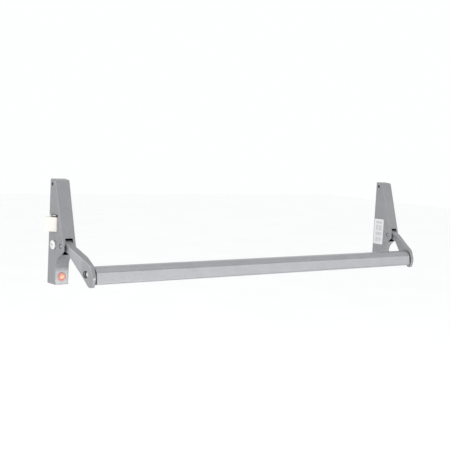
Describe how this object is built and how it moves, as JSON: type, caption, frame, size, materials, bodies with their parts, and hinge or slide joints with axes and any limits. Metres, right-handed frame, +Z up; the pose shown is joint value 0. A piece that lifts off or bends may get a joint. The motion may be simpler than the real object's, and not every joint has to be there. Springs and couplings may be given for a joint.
{
  "type": "panic exit bar",
  "caption": "Push bar on two hinged arms between a sprung latch case and a plain case, which draws in a side latch bolt when pushed.",
  "frame": {"origin": "on the door face, on the centre line of the latch case, level with the pivots of the arms", "axes": "+X along the door from the latch case to the plain case, +Y into the door, +Z up; the bar stands out towards -Y"},
  "size_m": [0.9247, 0.1299, 0.2],
  "materials": {
    "cover_paint": "silver-grey powder coat with a fine metallic fleck",
    "arm_paint": "silver-grey powder coat on a rounded casting",
    "bar_paint": "silver-grey powder coat on an extruded tube",
    "plate_steel": "phosphated pressed steel",
    "pin_steel": "ground steel",
    "lever_steel": "case-hardened pressed steel",
    "spring_steel": "drawn spring wire",
    "screw_black": "blackened steel",
    "screw_bright": "bright nickel plate",
    "cam_bright": "bright nickel plate, lightly scuffed",
    "latch_nylon": "cream moulded nylon",
    "trigger_steel": "zinc-plated steel",
    "bush_bronze": "sintered bronze",
    "rubber_black": "moulded black rubber",
    "plug_zinc": "die-cast zinc",
    "marker_orange": "moulded orange plastic",
    "label_white": "blank white film label"
  },
  "bodies": {
    "cases": {"active_backplate": "plate_steel", "active_cover": "cover_paint", "active_cover_screws": "screw_black", "active_pivot_pin": "pin_steel", "active_stop_pin": "pin_steel", "active_stop_sleeve": "rubber_black", "active_lifter_studs": "pin_steel", "active_return_spring": "spring_steel", "idler_backplate": "plate_steel", "idler_cover": "cover_paint", "idler_cover_screws": "screw_black", "idler_pivot_pin": "pin_steel", "idler_stop_pin": "pin_steel", "idler_stop_sleeve": "rubber_black", "idler_lifter_studs": "pin_steel", "idler_return_spring": "spring_steel", "idler_label": "label_white", "latch_spring": "spring_steel", "latch_guide": "plate_steel", "latch_guide_screws": "screw_black", "crank_stud": "pin_steel", "trigger_spring": "spring_steel", "marker_disc": "marker_orange"},
    "bar": {"left_arm": "arm_paint", "right_arm": "arm_paint", "push_bar": "bar_paint", "bar_end_plugs": "plug_zinc", "bar_gaskets": "rubber_black", "bar_screws": "screw_bright", "active_hub_bushes": "bush_bronze", "idler_hub_bushes": "bush_bronze"},
    "latch": {"latch_bolt": "latch_nylon"},
    "crank": {"latch_crank": "lever_steel"},
    "active_lift": {"active_lifter": "lever_steel"},
    "idler_lift": {"idler_lifter": "lever_steel"},
    "trigger": {"deadlatch_trigger": "trigger_steel"},
    "cam": {"side_cam": "cam_bright"}
  },
  "joints": [
    {"name": "bar_push", "type": "hinge", "parent": "cases", "child": "bar", "pos_m": [0.44, -0.045, 0], "axis": [1, 0, 0], "range_deg": [0, 20], "stiffness_Nm_per_rad": 3, "springref_deg": -28.65},
    {"name": "active_lifter_slide", "type": "slide", "parent": "cases", "child": "active_lift", "axis": [0, 0, 1], "range_m": [0, 0.00857], "deforming": ["active_return_spring"]},
    {"name": "idler_lifter_slide", "type": "slide", "parent": "cases", "child": "idler_lift", "axis": [0, 0, 1], "range_m": [0, 0.00857], "deforming": ["idler_return_spring"]},
    {"name": "crank_turn", "type": "hinge", "parent": "cases", "child": "crank", "pos_m": [-0.001, -0.00675, 0.017], "axis": [0, 1, 0], "range_deg": [0, 50.87]},
    {"name": "latch_draw", "type": "slide", "parent": "cases", "child": "latch", "axis": [1, 0, 0], "range_m": [0, 0.01252], "deforming": ["latch_spring"]},
    {"name": "trigger_press", "type": "slide", "parent": "cases", "child": "trigger", "axis": [1, 0, 0], "range_m": [0, 0.0025], "stiffness_N_per_m": 120, "springref_m": -0.01, "deforming": ["trigger_spring"]},
    {"name": "cam_turn", "type": "hinge", "parent": "cases", "child": "cam", "pos_m": [-0.0145, -0.0195, 0], "axis": [1, 0, 0], "range_deg": [0, 90]}
  ],
  "couplings": [
    {"joint": "active_lifter_slide", "follows": "bar_push", "m_per_rad": 0.0245},
    {"joint": "idler_lifter_slide", "follows": "bar_push", "m_per_rad": 0.0245},
    {"joint": "crank_turn", "follows": "bar_push", "ratio": 2.5409},
    {"joint": "latch_draw", "follows": "bar_push", "m_per_rad": 0.03581}
  ]
}
